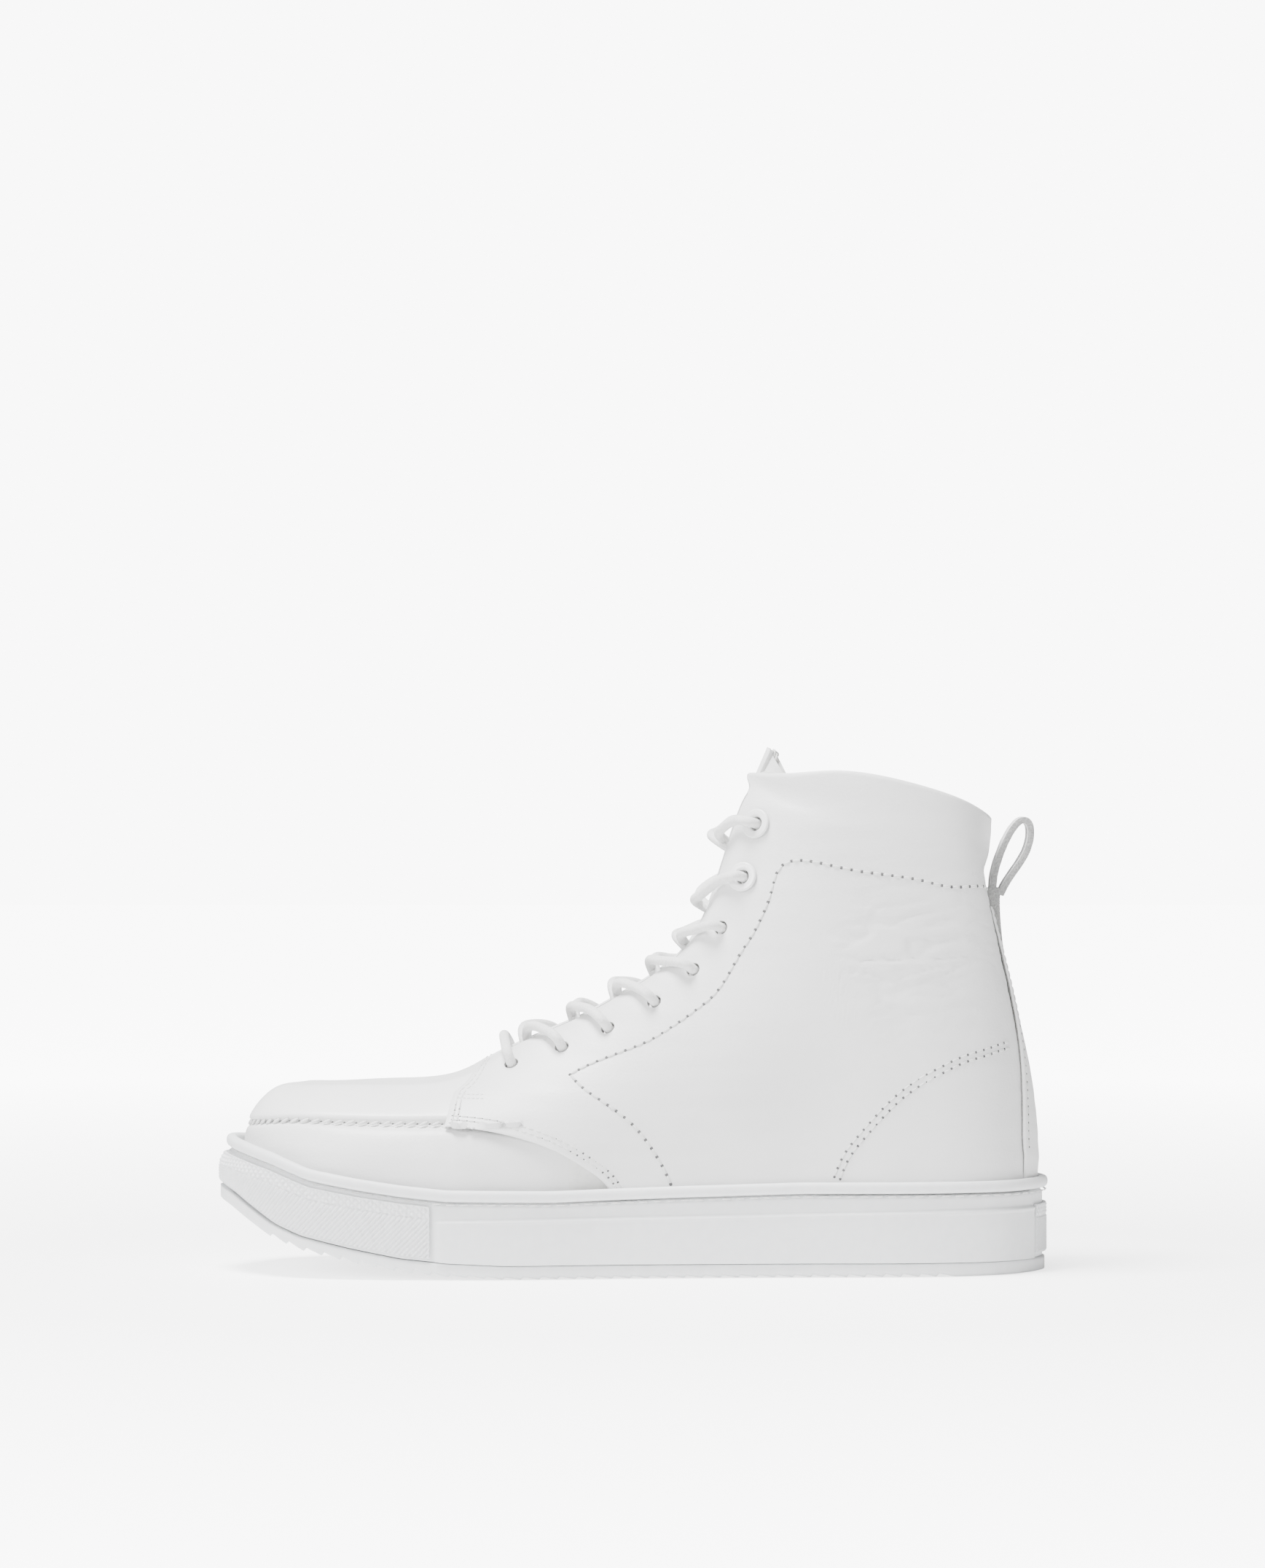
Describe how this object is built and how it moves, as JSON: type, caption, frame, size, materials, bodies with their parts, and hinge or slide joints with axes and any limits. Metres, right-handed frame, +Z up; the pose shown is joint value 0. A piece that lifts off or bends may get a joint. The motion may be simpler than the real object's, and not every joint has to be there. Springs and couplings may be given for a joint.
{
  "type": "basketball high top",
  "caption": "White leather lace-up high top shoe with moc-style toe, rubber cup sole, knurled toe bumper, tongue and heel pull loop.",
  "frame": {"origin": "bottom centre of the bounding box, on the ground under the middle of the shoe", "axes": "+Z up, -X towards the toe, -Y towards the lateral (outer) side of this left shoe"},
  "size_m": [0.2999, 0.1086, 0.1881],
  "materials": {
    "leather": "satin",
    "lining": "matte",
    "board": "matte",
    "foam": "matte",
    "rubber": "matte",
    "metal": "gloss",
    "cotton": "matte",
    "plastic": "satin"
  },
  "bodies": {
    "shoe": {"outsole": "rubber", "sidewall": "rubber", "welt_bead": "rubber", "toe_bumper": "rubber", "heel_bumper": "rubber", "midsole": "foam", "lasting_board": "board", "footbed": "lining", "vamp": "leather", "vamp_lining": "lining", "toe_puff": "board", "apron": "leather", "apron_lining": "lining", "quarter_lateral": "leather", "quarter_lining_lateral": "lining", "quarter_medial": "leather", "quarter_lining_medial": "lining", "heel_counter": "board", "backstay": "leather", "pull_loop_tail": "leather", "eyelet_lateral_lower": "metal", "eyelet_lateral_upper": "metal", "eyelet_medial_lower": "metal", "eyelet_medial_upper": "metal", "lace": "cotton", "aglet_lateral": "plastic", "aglet_medial": "plastic"},
    "tongue": {"tongue": "leather", "tongue_lining": "lining"},
    "pull_loop": {"pull_loop": "leather"}
  },
  "joints": [
    {"name": "tongue_tilt", "type": "hinge", "parent": "shoe", "child": "tongue", "pos_m": [-0.048, 0, 0.064], "axis": [0, 1, 0], "range_deg": [0, 10]},
    {"name": "pull_loop_fold", "type": "hinge", "parent": "shoe", "child": "pull_loop", "pos_m": [0.1335, 0, 0.136], "axis": [0, 1, 0], "range_deg": [0, 60]}
  ]
}
